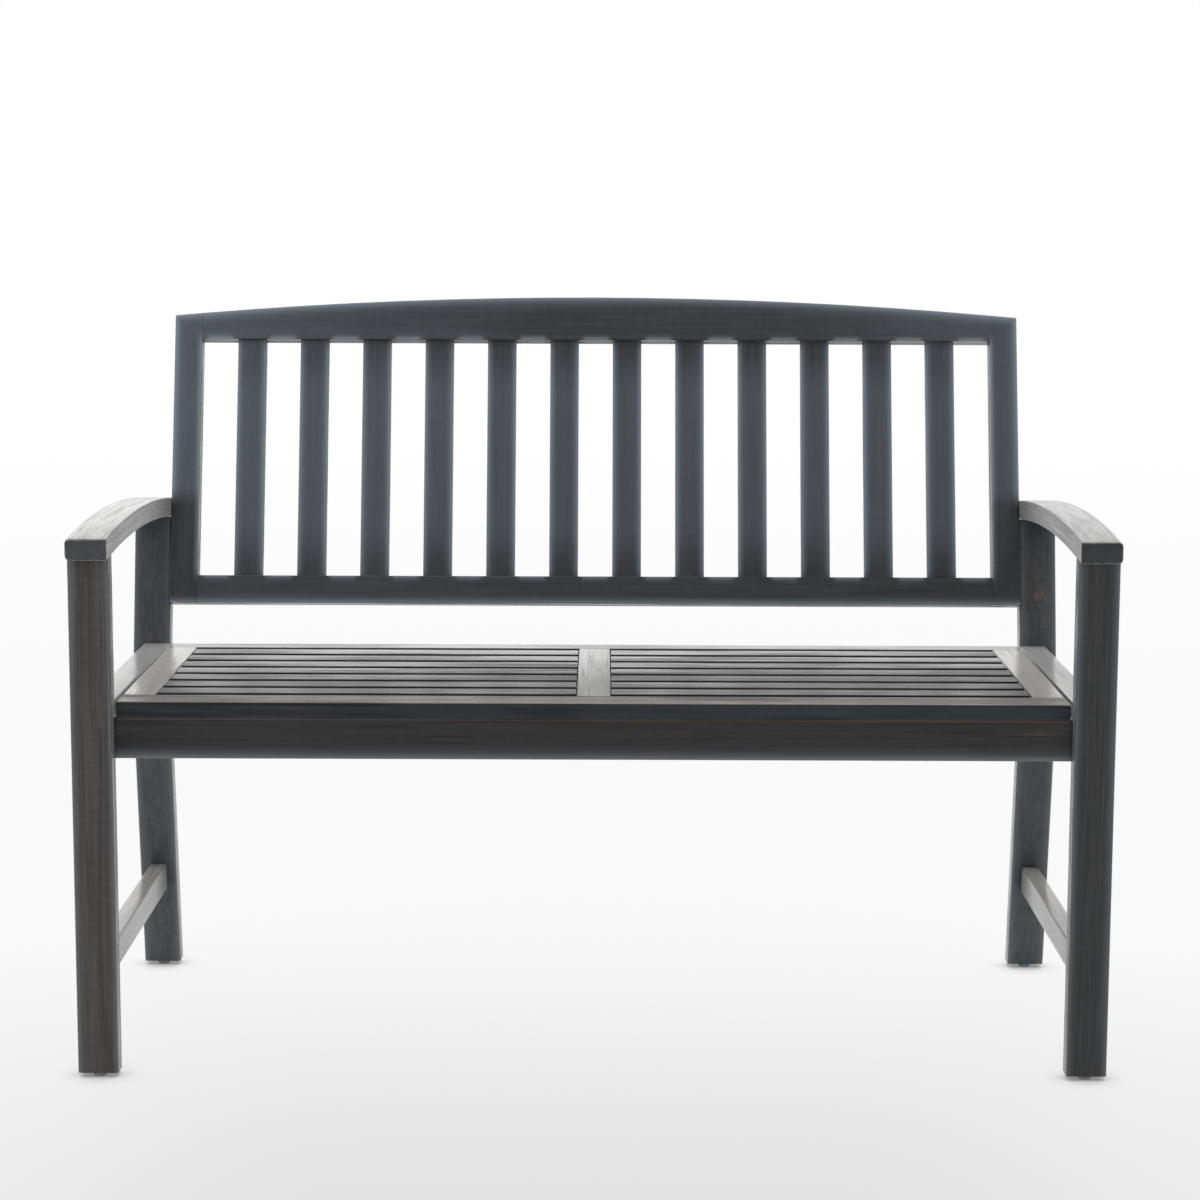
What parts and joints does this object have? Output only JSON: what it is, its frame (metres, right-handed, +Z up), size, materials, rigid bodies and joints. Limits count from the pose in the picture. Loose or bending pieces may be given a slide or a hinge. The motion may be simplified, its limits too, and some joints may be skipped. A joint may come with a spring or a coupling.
{
  "type": "outdoor bench",
  "caption": "Wooden outdoor bench with arms: two side frames carry a slatted seat panel and a reclined, arched back of upright slats",
  "frame": {"origin": "on the floor, under the middle of the bench's box", "axes": "+X along the bench, +Y from the front of the seat towards the back, +Z up"},
  "size_m": [1.221, 0.6024, 0.9031],
  "materials": {
    "frame_wood": "dark stain, satin",
    "seat_wood": "dark stain, satin",
    "back_wood": "dark stain, satin",
    "glide": "moulded",
    "bolt": "zinc plated"
  },
  "bodies": {
    "root": {"front_leg_left": "frame_wood", "front_leg_right": "frame_wood", "rear_leg_left": "frame_wood", "rear_leg_right": "frame_wood", "armrest_left": "frame_wood", "armrest_right": "frame_wood", "side_rail_left": "frame_wood", "side_rail_right": "frame_wood", "side_stretcher_left": "frame_wood", "side_stretcher_right": "frame_wood", "glide_front_left": "glide", "glide_front_right": "glide", "glide_rear_left": "glide", "glide_rear_right": "glide", "seat_front_rail": "seat_wood", "seat_rear_rail": "seat_wood", "seat_end_board_left": "seat_wood", "seat_end_board_right": "seat_wood", "seat_centre_board": "seat_wood", "seat_slat_left_1": "seat_wood", "seat_slat_left_2": "seat_wood", "seat_slat_left_3": "seat_wood", "seat_slat_left_4": "seat_wood", "seat_slat_left_5": "seat_wood", "seat_slat_left_6": "seat_wood", "seat_slat_left_7": "seat_wood", "seat_slat_right_1": "seat_wood", "seat_slat_right_2": "seat_wood", "seat_slat_right_3": "seat_wood", "seat_slat_right_4": "seat_wood", "seat_slat_right_5": "seat_wood", "seat_slat_right_6": "seat_wood", "seat_slat_right_7": "seat_wood", "front_apron": "seat_wood", "rear_apron": "seat_wood", "back_stile_left": "back_wood", "back_stile_right": "back_wood", "back_top_rail": "back_wood", "back_bottom_rail": "back_wood", "back_slat_01": "back_wood", "back_slat_02": "back_wood", "back_slat_03": "back_wood", "back_slat_04": "back_wood", "back_slat_05": "back_wood", "back_slat_06": "back_wood", "back_slat_07": "back_wood", "back_slat_08": "back_wood", "back_slat_09": "back_wood", "back_slat_10": "back_wood", "back_slat_11": "back_wood", "back_slat_12": "back_wood", "back_bolt_left_lower": "bolt", "back_bolt_left_upper": "bolt", "back_bolt_right_lower": "bolt", "back_bolt_right_upper": "bolt", "seat_bolt_left_front": "bolt", "seat_bolt_left_rear": "bolt", "seat_bolt_right_front": "bolt", "seat_bolt_right_rear": "bolt"}
  },
  "joints": []
}
